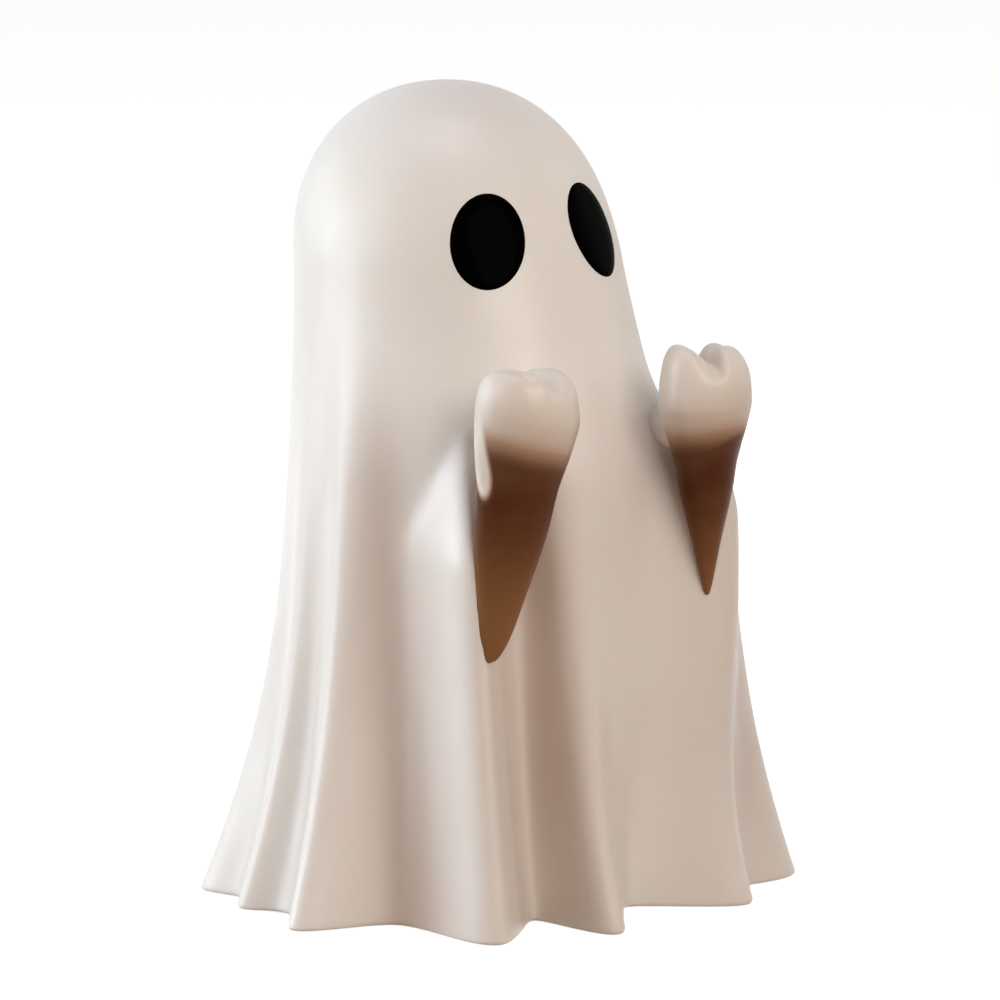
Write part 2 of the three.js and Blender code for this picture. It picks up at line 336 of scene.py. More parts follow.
def add_skin(name: str, grid: Array) -> Item:
    """Make a closed piece from a grid: rows from pole to pole, columns all the way round.

    Args:
        name: The piece's name.
        grid: Points in millimetres, rows by columns by 3. The first and last rows are poles.

    Returns:
        The new object, smooth shaded, with its place in its mesh.
    """
    rows, columns = grid.shape[:2]
    poles = np.stack([grid[0].mean(axis=0), grid[-1].mean(axis=0)])
    points = np.concatenate([poles[:1], grid[1:-1].reshape(-1, 3), poles[1:]]) * MM
    across = np.arange(columns)
    beside = (across + 1) % columns
    low = (1 + np.arange(rows - 3) * columns)[:, None]
    upper = low + columns
    quads = np.stack([low + across, low + beside, upper + beside, upper + across], axis=-1)
    last = len(points) - 1
    high = last - columns
    start_fan = np.stack([np.zeros(columns, int), 1 + beside, 1 + across], axis=-1)
    end_fan = np.stack([np.full(columns, last), high + across, high + beside], axis=-1)
    triangles = np.concatenate([start_fan, end_fan])
    corners = np.concatenate([quads.reshape(-1), triangles.reshape(-1)])
    sizes = np.concatenate([np.full(quads.size // 4, 4), np.full(len(triangles), 3)])
    mesh = bpy.data.meshes.new(name)
    mesh.vertices.add(len(points))
    mesh.vertices.foreach_set("co", points.ravel())
    mesh.loops.add(len(corners))
    mesh.loops.foreach_set("vertex_index", corners.astype(np.int32))
    mesh.polygons.add(len(sizes))
    mesh.polygons.foreach_set("loop_start", (np.cumsum(sizes) - sizes).astype(np.int32))
    mesh.polygons.foreach_set("use_smooth", np.ones(len(sizes), bool))
    mesh.update(calc_edges=True)
    return add_object(name, mesh)


def set_attribute(piece: Item, name: str, values: Array) -> None:
    """Store one number for each vertex of a piece, under the attribute's name."""
    layer = piece.data.attributes.new(name, "FLOAT", "POINT")
    layer.data.foreach_set("value", values.astype(np.float32).ravel())


def mesh_points(piece: Item) -> Array:
    """Read a piece's vertices.

    Args:
        piece: The object to read.

    Returns:
        Points in millimetres, vertices by 3.
    """
    points = np.empty(len(piece.data.vertices) * 3, np.float32)
    piece.data.vertices.foreach_get("co", points)
    return points.reshape(-1, 3).astype(float) / MM


class Slot(Enum):
    """The record's material slots."""

    SHEET = "sheet"
    ARMS = "arms"
    EYES = "eyes"
    PLATE = "plate"
    FELT = "felt"


def fill(tree: Tree, node: Shader, inputs: dict[str, Socket | float | tuple]) -> Shader:
    """Link a node's inputs to sockets, and set the others to plain values.

    Args:
        tree: The node's tree.
        node: The node to fill.
        inputs: A socket or a value for each input, by the input's name.

    Returns:
        The same node.
    """
    for name, value in inputs.items():
        if isinstance(value, Socket):
            tree.links.new(value, node.inputs[name])
        else:
            node.inputs[name].default_value = value
    return node


def new_material(name: str) -> tuple[Material, Tree, Shader]:
    """Start a node material.

    Args:
        name: The material's name.

    Returns:
        The material, its node tree and its Principled shader.
    """
    material = bpy.data.materials.new(name)
    material.use_nodes = True
    tree = material.node_tree
    return material, tree, tree.nodes["Principled BSDF"]


@dataclass(frozen=True)
class Pattern:
    """A noise pattern: its waves to the metre, its octaves and the finer ones' strength."""

    scale: float
    detail: float
    roughness: float = 0.5

    def add(self, tree: Tree) -> Socket:
        """Add the pattern on the piece's own coordinates.

        Args:
            tree: The material's nodes.

        Returns:
            The pattern's value.
        """
        place = tree.nodes.new("ShaderNodeTexCoord").outputs["Object"]
        values = {"Scale": self.scale, "Detail": self.detail, "Roughness": self.roughness}
        noise = tree.nodes.new("ShaderNodeTexNoise")
        return fill(tree, noise, {"Vector": place, **values}).outputs["Fac"]


@dataclass(frozen=True)
class Bump:
    """A pattern that roughens a surface, with its strength and its height in metres."""

    pattern: Pattern
    strength: float
    height: float

    def add(self, tree: Tree) -> Socket:
        """Add the bump.

        Args:
            tree: The material's nodes.

        Returns:
            The bent normal.
        """
        values = {"Strength": self.strength, "Distance": self.height}
        bump = tree.nodes.new("ShaderNodeBump")
        return fill(tree, bump, {"Height": self.pattern.add(tree), **values}).outputs["Normal"]


def add_range(tree: Tree, source: Socket, before: Span, after: Span = (0.0, 1.0)) -> Socket:
    """Map a value from one range to another.

    Args:
        tree: The material's nodes.
        source: The value.
        before: Its range.
        after: The new range.

    Returns:
        The mapped value.
    """
    ends = zip(("From Min", "From Max", "To Min", "To Max"), (*before, *after))
    node = fill(tree, tree.nodes.new("ShaderNodeMapRange"), {"Value": source, **dict(ends)})
    return node.outputs["Result"]


def add_mix(tree: Tree, share: Socket, first: Socket | Colour, second: Socket | Colour) -> Socket:
    """Mix two colours by a share.

    Args:
        tree: The material's nodes.
        share: 0 for the first colour and 1 for the second.
        first: A colour or a socket.
        second: A colour or a socket.

    Returns:
        The mixed colour.
    """
    node = tree.nodes.new("ShaderNodeMix")
    node.data_type = "RGBA"
    tree.links.new(share, node.inputs["Factor"])
    for name, colour in (("A", first), ("B", second)):
        socket = next(item for item in node.inputs if item.name == name and item.type == "RGBA")
        if isinstance(colour, tuple):
            socket.default_value = (*colour, 1.0)
        else:
            tree.links.new(colour, socket)
    return next(item for item in node.outputs if item.type == "RGBA")


def add_attribute(tree: Tree, name: str) -> Socket:
    """Read one of the piece's own point attributes.

    Args:
        tree: The material's nodes.
        name: The attribute's name.

    Returns:
        The attribute's value.
    """
    node = tree.nodes.new("ShaderNodeAttribute")
    node.attribute_name = name
    return node.outputs["Fac"]


@dataclass(frozen=True)
class ResinFinish:
    """Warm white cast resin with a waxy satin skin, with painted shade in its hollows and under the
    hands.
    """

    name: str
    body: Colour = (0.87, 0.83, 0.785)
    cloud: Colour = (0.85, 0.80, 0.75)
    # Painted shade in the hollows between folds.
    hollow: Colour = (0.50, 0.34, 0.25)
    # Painted brown shade under the hands, from a tan start through its edge to the darkest, and a
    # paler painted shade for its streaks and the lit drape tips.
    painted_shade_tan: Colour = (0.45, 0.28, 0.18)
    painted_shade_edge: Colour = (0.135, 0.055, 0.026)
    painted_shade: Colour = (0.078, 0.018, 0.005)
    paler_painted_shade: Colour = (0.28, 0.13, 0.055)
    painted_shade_stops: tuple[float, ...] = (0.0, 0.35, 0.7, 1.0)
    roughness: Span = (0.30, 0.42)
    gloss: float = 0.5
    painted_shade_gloss: float = 0.05
    painted_shade_dulled: float = 0.6
    waxiness: float = 0.25
    wax_colour: Colour = (1.0, 0.5, 0.28)
    wax_depth: float = 0.004
    clouds: Pattern = Pattern(28.0, 3.0)
    streaks: Pattern = Pattern(90.0, 4.0)
    streak_share: float = 0.2
    grain: Pattern = Pattern(160.0, 5.0, 0.6)
    dimples: Bump = Bump(Pattern(900.0, 2.0), 0.12, 0.00006)

    def make(self) -> Material:
        """Build the material: clouded colour, painted shade in the hollows, painted brown shade
        under the hands, soft grain and dimples.

        Returns:
            The finished material.
        """
        material, tree, shader = new_material(self.name)
        cloud_share = add_range(tree, self.clouds.add(tree), PATCHY)
        colour = add_mix(tree, cloud_share, self.body, self.cloud)
        # Painted shade in the hollows, by the piece's hollow attribute.
        colour = add_mix(tree, add_attribute(tree, "hollow"), colour, self.hollow)
        # Painted brown shade under the hands, with random streaks and paler painted light towards
        # the drape's tip.
        streak = add_range(tree, self.streaks.add(tree), EVEN, (0.0, self.streak_share))
        brown = add_mix(tree, streak, self.painted_shade, self.paler_painted_shade)
        brown = add_mix(tree, add_attribute(tree, "painted_tip_light"), brown, self.paler_painted_shade)
        painted_shade = add_attribute(tree, "painted_shade")
        stops = zip(self.painted_shade_stops, self.painted_shade_stops[1:])
        for stop, stain in zip(stops, (self.painted_shade_tan, self.painted_shade_edge, brown)):
            colour = add_mix(tree, add_range(tree, painted_shade, stop), colour, stain)
        # The painted shade is less glossy, so that it stays dark.
        dulled = (0.0, self.painted_shade_dulled)
        fill(tree, shader, {
            "Base Color": colour,
            "Roughness": add_range(tree, self.grain.add(tree), EVEN, self.roughness),
            "Specular IOR Level": add_range(tree, painted_shade, dulled, (self.gloss, self.painted_shade_gloss)),
            "Subsurface Weight": self.waxiness,
            "Subsurface Radius": self.wax_colour,
            "Subsurface Scale": self.wax_depth,
            "Normal": self.dimples.add(tree),
        })
        return material


@dataclass(frozen=True)
class EyeFinish:
    """Smooth gloss black with faint dust marks in the gloss."""

    name: str = "gloss_black"
    colour: Colour = (0.0002, 0.0002, 0.0002)
    worn: Colour = (0.0006, 0.0006, 0.0006)
    roughness: Span = (0.10, 0.16)
    gloss: float = 0.004
    smudges: Pattern = Pattern(220.0, 3.0)

    def make(self) -> Material:
        """Build the material: near black, with a slowly changing gloss.

        Returns:
            The finished material.
        """
        material, tree, shader = new_material(self.name)
        smudge = self.smudges.add(tree)
        share = add_range(tree, smudge, PATCHY)
        fill(tree, shader, {
            "Base Color": add_mix(tree, share, self.colour, self.worn),
            "Roughness": add_range(tree, smudge, EVEN, self.roughness),
            "Specular IOR Level": self.gloss,
        })
        return material


@dataclass(frozen=True)
class DryFinish:
    """A dry mottled face: pressed felt, or bare cast resin."""

    name: str
    light: Colour
    dark: Colour
    mottle: Pattern
    roughness: float
    sheen: float
    bump: Bump

    def make(self) -> Material:
        """Build the material: mottled colour, an even roughness and a small bump.

        Returns:
            The finished material.
        """
        material, tree, shader = new_material(self.name)
        share = add_range(tree, self.mottle.add(tree), MOTTLED)
        fill(tree, shader, {
            "Base Color": add_mix(tree, share, self.dark, self.light),
            "Roughness": self.roughness,
            "Sheen Weight": self.sheen,
            "Normal": self.bump.add(tree),
        })
        return material


# Tangled short fibres with a fuzzy sheen.
PRESSED_FELT = DryFinish(
    "pressed_felt", light=(0.58, 0.53, 0.46), dark=(0.40, 0.36, 0.31),
    mottle=Pattern(1400.0, 6.0, 0.7), roughness=0.95, sheen=0.3,
    bump=Bump(Pattern(1400.0, 6.0, 0.7), 0.6, 0.0003),
)
# The closing plate's cast face, with small pits.
BARE_RESIN = DryFinish(
    "bare_resin", light=(0.74, 0.68, 0.60), dark=(0.62, 0.55, 0.47),
    mottle=Pattern(60.0, 4.0), roughness=0.6, sheen=0.0,
    bump=Bump(Pattern(700.0, 3.0), 0.3, 0.0002),
)


def dress(piece: Item, material: Material, slot: Slot, *nodes: str) -> Item:
    """Give a piece its finish and its body, and hide the nodes that it stands for.

    Args:
        piece: The new piece.
        material: Its finish.
        slot: The record's slot for that finish; not used.
        nodes: The nodes that it replaces.

    Returns:
        The same piece.
    """
    piece.data.materials.clear()
    piece.data.materials.append(material)
    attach(piece, BODY)
    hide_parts(*nodes)
    return piece


@dataclass(frozen=True)
class ShadeBand:
    """A lengthwise band of painted brown shade between two folds."""

    hem_turn: float
    top_turn: float
    spread: float
    hem_share: float
    top_share: float
    top: float
    change_pace: float = 3.0
    fade_pace: float = 4.0

    def share(self, turn: Array, z: Array) -> Array:
        """How strong the shade is: a bell across the band, which fades out below its top.

        Args:
            turn: Turns in degrees.
            z: Heights in millimetres.

        Returns:
            Shares from 0 to 1.
        """
        climb = np.clip(z / self.top, 0.0, 1.0)
        offset = signed_turn(turn - lerp(self.hem_turn, self.top_turn, climb)) / self.spread
        strength = lerp(self.hem_share, self.top_share, smooth(climb * self.change_pace))
        fade = smooth((1.0 - climb) * self.fade_pace)
        return strength * np.exp(-0.5 * offset ** 2) * fade


@dataclass
class SheetShell:
    """The hollow cast sheet, with its hem, the rebate for the plate and the hollow above it."""

    form: SheetForm
    columns: int = 384
    skirt_rows: int = 150
    dome_rows: int = 56
    cavity_rows: int = 14
    wall: float = 3.6
    hem_round: float = 0.9
    hem_rows: int = 5
    plate_ledge: float = 2.0
    ledge_height: float = 4.8
    seat_gap: float = 0.3
    # The painted shade in the hollows: its strength, and how the hollows' depth is measured.
    painted_hollow_shade: float = 0.32
    hollow_reach: float = 15.0
    hollow_samples: int = 7
    hollow_start: float = 0.5
    hollow_depth: float = 5.0
    hollow_fade: float = 20.0
    # The front that is left without painted shade.
    unshaded_turn: float = 22.0
    unshaded_spread: float = 26.0
    # Lengthwise bands of painted shade.
    shade_bands: tuple[ShadeBand, ...] = (
        ShadeBand(-10.0, -15.5, 4.5, 0.25, 0.55, 108.0),
        ShadeBand(-46.0, -59.0, 7.0, 0.62, 0.46, 112.0),
        ShadeBand(46.0, 40.0, 7.0, 0.05, 0.55, 112.0),
    )

    def turns(self) -> Array:
        """The columns' turns in degrees."""
        return np.linspace(0.0, 360.0, self.columns, endpoint=False)[None, :]

    def outer_rows(self) -> Array:
        """The outer face: rising radii, and above the dome's foot radii times the dome's share.

        Returns:
            Points in millimetres, rows by columns by 3.
        """
        form, turns = self.form, self.turns()
        foot = form.hem_lift + self.hem_round
        low = np.linspace(foot, form.dome_height, self.skirt_rows, endpoint=False)
        climb = np.linspace(0.0, math.pi / 2, self.dome_rows)
        high = form.dome_height + (form.height - form.dome_height) * np.sin(climb)
        z = np.concatenate([low, high])[:, None]
        return form.place(turns, form.radius(turns, z) * form.dome_share(z), z)

    def hem_edge(self) -> Array:
        """The rounded lower edge: a quarter circle inside the outer face at the hem.

        Returns:
            Points in millimetres, rows by columns by 3.
        """
        form = self.form
        angle = np.linspace(0.0, math.pi / 2, self.hem_rows, endpoint=False)[:, None]
        z = form.hem_lift + self.hem_round * (1 - np.cos(angle))
        edge = form.radius(self.turns(), z) - self.hem_round * (1 - np.sin(angle))
        return form.place(self.turns(), edge, z)

    def inside_rows(self) -> Array:
        """The inner face, from the crown down: the hollow, the ledge and the rebate's wall.

        Returns:
            Points in millimetres, rows by columns by 3.
        """
        form, turns = self.form, self.turns()
        climb = np.linspace(math.pi / 2, 0.0, self.cavity_rows)[:, None]
        high = form.dome_height + (form.height - self.wall - form.dome_height) * np.sin(climb)
        low = np.linspace(form.dome_height, self.ledge_height, self.cavity_rows)[1:, None]
        shrink = np.cos(climb) ** form.dome_fullness
        shrink[0] = 0.0
        dome = form.place(turns, (form.core(turns, high) - self.wall) * shrink, high)
        hollow = form.place(turns, form.core(turns, low) - self.wall, low)
        rebate = form.core(turns, np.array([[self.ledge_height]])) - self.wall
        rebate = rebate + self.plate_ledge + self.seat_gap
        steps = np.array([[self.ledge_height], [form.hem_lift]])
        return np.concatenate([dome, hollow, form.place(turns, rebate + 0 * steps, steps)])

    def hollow_shade_share(self, points: Array) -> Array:
        """How much painted shade a point gets: more the deeper it lies between folds, as the radius
        about it, averaged, less its own.

        The front stays without painted shade under a flat-topped bell, and the painted shade bands
        are laid over the rest.

        Args:
            points: Points in millimetres, vertices by 3.

        Returns:
            Shares from 0 to 1.
        """
        form = self.form
        turn, _, z = form.polar(points)
        around = np.linspace(-self.hollow_reach, self.hollow_reach, self.hollow_samples)
        near = np.mean([form.radius(turn + step, z) for step in around], axis=0)
        depth = near - form.radius(turn, z)
        fade = np.clip((form.dome_height - z) / self.hollow_fade, 0.0, 1.0)
        front = np.exp(-0.5 * (signed_turn(turn - self.unshaded_turn) / self.unshaded_spread) ** 4)
        sunk = smooth((depth - self.hollow_start) / self.hollow_depth)
        share = self.painted_hollow_shade * sunk * fade * (1.0 - front)
        for band in self.shade_bands:
            share = np.maximum(share, band.share(turn, z))
        return share

    def build(self, finish: ResinFinish) -> Item:
        """Make and dress the shell.

        Args:
            finish: Its finish.

        Returns:
            The finished piece.
        """
        grid = np.concatenate([self.inside_rows(), self.hem_edge(), self.outer_rows()])
        piece = add_skin("draped_sheet", grid)
        # Painted shade in the hollows, stored as the hollow attribute.
        set_attribute(piece, "hollow", self.hollow_shade_share(mesh_points(piece)))
        return dress(piece, finish.make(), Slot.SHEET, "sheet_shell")


@dataclass(frozen=True)
class ShadeStep:
    """One eased step of the painted brown shade under a hand, nothing above its line and its full
    share below.
    """

    share: float
    lead: float
    length: float

    def strength(self, line: Array, z: Array) -> Array:
        """The step's share times an ease that starts its lead above the line."""
        return self.share * smooth((line + self.lead - z) / self.length)


@dataclass
class RaisedArm:
    """One raised arm: a closed hand with a thumb, the forearm, and the drape that tapers below."""

    name: str
    side: int
    drape_tip: float
    fullness: float
    hand_out: float = 21.6
    hand_forward: float = 54.6
    hand_height: float = 103.0
    hand_half_width: float = 10.5
    hand_half_depth: float = 8.7
    hand_crown: float = 12.6
    hand_twist: float = 20.0
    depth_fullness: float = 0.9
    crown_ease: float = 0.9
    crown_tilt: float = 1.5
    crown_box: float = 0.42
    notch_depth: float = 4.6
    notch_inner: float = 3.6
    notch_outer: float = 1.6
    notch_power: float = 1.5
    notch_start: float = 4.5
    notch_full: float = 7.0
    notch_turn: float = 15.0
    finger_depth: float = 0.7
    finger_off: float = 4.6
    finger_width: float = 0.8
    thumb_out: float = 28.9
    thumb_forward: float = 52.4
    thumb_drop: float = 3.4
    thumb_radius: float = 3.1
    thumb_half_length: float = 11.0
    thumb_rows_columns: tuple[int, int] = (24, 32)
    drape_out: float = 26.6
    drape_forward: float = 48.6
    drape_bend: float = 0.85
    tip_radius: float = 0.9
    tip_share: float = 0.02
    tip_fade: float = 0.32
    tip_crowding: float = 1.5
    wrist_pinch: float = 0.07
    wrist_share: float = 0.72
    wrist_spread: float = 0.12
    forearm_turn: float = 0.0
    forearm_radius: float = 4.3
    forearm_drop: float = 6.0
    forearm_reach: float = 24.0
    forearm_rows_columns: tuple[int, int] = (20, 40)
    columns: int = 96
    rows: int = 60
    voxel: float = 0.42
    soften_share: float = 0.5
    soften_rounds: int = 8
    # Where the painted brown shade under the hand starts and ends, and how its lines slant.
    shade_start: float = 100.8
    shade_slope: float = -0.28
    band_end: float = 94.5
    band_slope: float = 0.0
    tan_step: ShadeStep = ShadeStep(0.14, 9.0, 9.0)
    edge_step: ShadeStep = ShadeStep(0.56, 2.0, 8.0)
    dark_step: ShadeStep = ShadeStep(0.3, 0.0, 6.0)
    # Paler painted light towards the drape's tip.
    pale_tip_top: float = 90.0
    pale_tip_length: float = 29.0
    thumb_margin: float = 0.25
    forearm_margin: float = 0.7
    forearm_margin_fade: float = 0.5
    forearm_bare_start: float = 5.0
    forearm_bare_run: float = 3.0

    def hand(self) -> Array:
        """The middle of the hand."""
        return np.array([self.side * self.hand_out, -self.hand_forward, self.hand_height])

    def thumb(self) -> Array:
        """The middle of the thumb."""
        height = self.hand_height - self.thumb_drop
        return np.array([self.side * self.thumb_out, -self.thumb_forward, height])

    def notch(self, points: Array) -> Array:
        """How deep the notch over the crown is: an eased lift times a bell across a slanted line.

        Args:
            points: Points in millimetres.

        Returns:
            Depths in millimetres.
        """
        angle = math.radians(self.notch_turn)
        from_hand = points - self.hand()
        aside = self.side * from_hand[..., 0]
        off = aside * math.cos(angle) - from_hand[..., 1] * math.sin(angle)
        width = np.where(off > 0, self.notch_outer, self.notch_inner)
        lift = smooth((from_hand[..., 2] - self.notch_start) / self.notch_full)
        bell = np.exp(-((np.abs(off) / width) ** self.notch_power))
        finger = np.exp(-(((off - self.finger_off) / self.finger_width) ** 2))
        tilt = self.crown_tilt * off / self.hand_half_width
        return lift * (self.notch_depth * bell + self.finger_depth * finger + tilt)

    def hand_rows(self) -> Array:
        """The drape and the hand: ellipses that grow from a rounded tip, then close over the crown.

        Returns:
            Points in millimetres, rows by columns by 3.
        """
        share = np.linspace(0.0, 1.0, self.rows)[:, None] ** self.tip_crowding
        climb = np.linspace(0.0, math.pi / 2, self.rows // 2)[1:, None]
        share = np.concatenate([share, np.ones_like(climb)])
        climb = np.concatenate([np.zeros((self.rows, 1)), climb])
        waist = np.exp(-(((share - self.wrist_share) / self.wrist_spread) ** 2))
        pinch = 1 - self.wrist_pinch * waist
        close = np.cos(climb) ** self.crown_box
        close[-1] = 0.0
        flat = 1 - np.clip(share / self.tip_share, 0.0, 1.0)
        fade = 1 - smooth(share / self.tip_fade)
        blunt = self.tip_radius * np.sqrt(1 - flat * flat) * fade
        width = (self.hand_half_width * share ** self.fullness * pinch + blunt) * close
        depth = (self.hand_half_depth * share ** self.depth_fullness * pinch + blunt) * close
        tip = np.array([self.side * self.drape_out, -self.drape_forward, self.drape_tip])
        bend = share ** self.drape_bend
        centre = tip + (self.hand() - tip) * np.stack([bend, bend, share], axis=-1)
        around = way_round(self.columns)
        twist = math.radians(self.side * self.hand_twist)
        wide = width * np.cos(around)
        deep = depth * np.sin(around)
        x = centre[..., 0] + wide * math.cos(twist) - deep * math.sin(twist)
        y = centre[..., 1] + wide * math.sin(twist) + deep * math.cos(twist)
        z = centre[..., 2] + self.hand_crown * np.sin(climb) ** self.crown_ease
        points = np.stack(np.broadcast_arrays(x, y, z), axis=-1).copy()
        points[..., 2] -= self.notch(points)
        return points

    def thumb_rows(self) -> Array:
        """The thumb: an upright ellipsoid on the outer side of the hand.

        Returns:
            Points in millimetres, rows by columns by 3.
        """
        rows, columns = self.thumb_rows_columns
        climb = np.linspace(-math.pi / 2, math.pi / 2, rows)[:, None]
        around = way_round(columns)
        middle = self.thumb()
        x = middle[0] + self.thumb_radius * np.cos(climb) * np.cos(around)
        y = middle[1] + self.thumb_radius * np.cos(climb) * np.sin(around)
        z = middle[2] + self.thumb_half_length * np.sin(climb)
        return np.stack(np.broadcast_arrays(x, y, z), axis=-1)

    def forearm_line(self) -> tuple[Array, Array]:
        """Where the forearm starts under the hand, and its level way back into the sheet.

        Returns:
            A point in millimetres and a direction.
        """
        angle = math.radians(self.forearm_turn)
        along = np.array([-self.side * math.sin(angle), math.cos(angle), 0.0])
        return self.hand() - np.array([0.0, 0.0, self.forearm_drop]), along

    def forearm_rows(self) -> Array:
        """The forearm: circles along its line.

        Returns:
            Points in millimetres, rows by columns by 3.
        """
        rows, columns = self.forearm_rows_columns
        start, along = self.forearm_line()
        across = np.array([along[1], -along[0], 0.0])
        distance = np.linspace(0.0, self.forearm_reach, rows)
        distance = np.concatenate([[0.0], distance, [self.forearm_reach]])
        radius = np.full(len(distance), self.forearm_radius)
        radius[[0, -1]] = 0.0
        around = way_round(columns)[..., None]
        centre = start + distance[:, None, None] * along
        ring = across * np.cos(around) - np.array([0.0, 0.0, 1.0]) * np.sin(around)
        return centre + radius[:, None, None] * ring

    def painted_shade_left(self, points: Array) -> Array:
        """How much of the painted shade is left, since the thumb and the forearm stay clear of it.

        Args:
            points: Points in millimetres, vertices by 3.

        Returns:
            Shares, 0 on the thumb and on the forearm behind the hand.
        """
        sizes = np.array([self.thumb_radius, self.thumb_radius, self.thumb_half_length])
        scaled = (points - self.thumb()) / sizes
        clear = smooth((np.linalg.norm(scaled, axis=1) - 1.0) / self.thumb_margin)
        start, along = self.forearm_line()
        back = (points - start) @ along
        off_line = np.linalg.norm(points - start - back[:, None] * along, axis=1)
        edge = self.forearm_radius + self.forearm_margin
        bare = smooth((edge - off_line) / self.forearm_margin_fade)
        bare = bare * smooth((back - self.forearm_bare_start) / self.forearm_bare_run)
        return clear * (1 - bare)

    def painted_shade_share(self, points: Array) -> tuple[Array, Array]:
        """Where the painted brown shade lies: three steps under the hand, down to the drape's tip.

        Args:
            points: Points in millimetres, vertices by 3.

        Returns:
            The painted shade's share, and how far towards the tip it is, for the paler painted
            light there.
        """
        aside = (points - self.hand()) @ ACROSS_VIEW
        z = points[:, 2]
        line = self.shade_start + self.shade_slope * aside
        band = self.band_end + self.band_slope * aside
        share = self.tan_step.strength(line, z) + self.edge_step.strength(line, z)
        share = share + self.dark_step.strength(band, z)
        tip = smooth((self.pale_tip_top - z) / self.pale_tip_length)
        return share * self.painted_shade_left(points), tip

    def build(self, finish: ResinFinish) -> Item:
        """Make and dress the arm: three closed forms, fused and softened where they meet.

        Args:
            finish: Its finish.

        Returns:
            The finished piece.
        """
        forms = {
            "hand": self.hand_rows(),
            "thumb": self.thumb_rows(),
            "forearm": self.forearm_rows(),
        }
        parts = [add_skin(f"{self.name}_{label}", rows) for label, rows in forms.items()]
        with bpy.context.temp_override(active_object=parts[0], selected_editable_objects=parts):
            bpy.ops.object.join()
        rough = parts[0]
        remesh = rough.modifiers.new("fuse", "REMESH")
        remesh.mode = "VOXEL"
        remesh.voxel_size = self.voxel * MM
        soften = rough.modifiers.new("soften", "SMOOTH")
        soften.factor = self.soften_share
        soften.iterations = self.soften_rounds
        graph = bpy.context.evaluated_depsgraph_get()
        mesh = bpy.data.meshes.new_from_object(rough.evaluated_get(graph))
        bpy.data.objects.remove(rough)
        mesh.name = self.name
        mesh.polygons.foreach_set("use_smooth", np.ones(len(mesh.polygons), bool))
        piece = add_object(f"{self.name}_cast", mesh)
        painted_shade, tip = self.painted_shade_share(mesh_points(piece))
        # Painted shade under the hand, and paler painted light towards the tip.
        set_attribute(piece, "painted_shade", painted_shade)
        set_attribute(piece, "painted_tip_light", tip)
        return dress(piece, finish.make(), Slot.ARMS, self.name)


@dataclass
class InlaidEye:
    """A glossy oval inlay that follows the head and stands a little proud of it."""

    form: SheetForm
    name: str
    turn: float
    roll: float
    height: float = 135.3
    half_width: float = 7.6
    half_height: float = 9.9
    stand_out: float = 0.4
    rim_sink: float = 0.5
    rim_share: float = 0.96
    rim_crowding: float = 0.7
    dome_power: int = 8
    depth: float = 2.2
    columns: int = 128
    rows: int = 40
    back_rows: int = 6
    drop_rounds: int = 14
    slope_step: float = 1.0

    def on_sheet(self, turn: float, height: float) -> Array:
        """The point of the dome at a turn and a height."""
        at, z = np.array(turn), np.array(height)
        return self.form.place(at, self.form.radius(at, z) * self.form.dome_share(z), z)

    def axes(self) -> tuple[Array, Array, Array, Array]:
        """The eye's middle on the sheet, and its directions across, up and out.

        Returns:
            Four vectors, the first in millimetres.
        """
        turn, height, step = self.turn, self.height, self.slope_step
        climbing = self.on_sheet(turn, height + step) - self.on_sheet(turn, height - step)
        level = self.on_sheet(turn + step, height) - self.on_sheet(turn - step, height)
        level = level / np.linalg.norm(level)
        out = np.cross(level, climbing)
        out = out / np.linalg.norm(out)
        steep = np.cross(out, level)
        roll = math.radians(self.roll)
        across = level * math.cos(roll) - steep * math.sin(roll)
        up = steep * math.cos(roll) + level * math.sin(roll)
        return self.on_sheet(turn, height), across, up, out

    def face_rows(self) -> Array:
        """The face and its flat back: an ellipse dropped on the head, lifted by a flat dome.

        Returns:
            Points in millimetres, rows by columns by 3, from the back's middle to the face's.
        """
        centre, across, up, out = self.axes()
        behind = np.linspace(0, 1, self.back_rows)
        ahead = np.linspace(1, 0, self.rows) ** self.rim_crowding
        share = np.concatenate([behind, ahead])[:, None]
        around = way_round(self.columns)
        reach = share[..., None] / self.rim_share
        points = (
            centre
            + self.half_width * reach * np.cos(around)[..., None] * across
            + self.half_height * reach * np.sin(around)[..., None] * up
        )
        for _ in range(self.drop_rounds):
            points = points - self.form.gap(points)[..., None] * out
        swell = np.sqrt(np.clip(1 - share ** self.dome_power, 0, 1))
        dome = -self.rim_sink + (self.stand_out + self.rim_sink) * swell
        back = np.full((self.back_rows, 1), -self.depth)
        lift = np.concatenate([back, dome[self.back_rows:]])
        return points + lift[..., None] * out

    def build(self, finish: EyeFinish) -> Item:
        """Make the eye and dress it in its finish."""
        piece = add_skin(f"{self.name}_inlay", self.face_rows())
        return dress(piece, finish.make(), Slot.EYES, self.name)


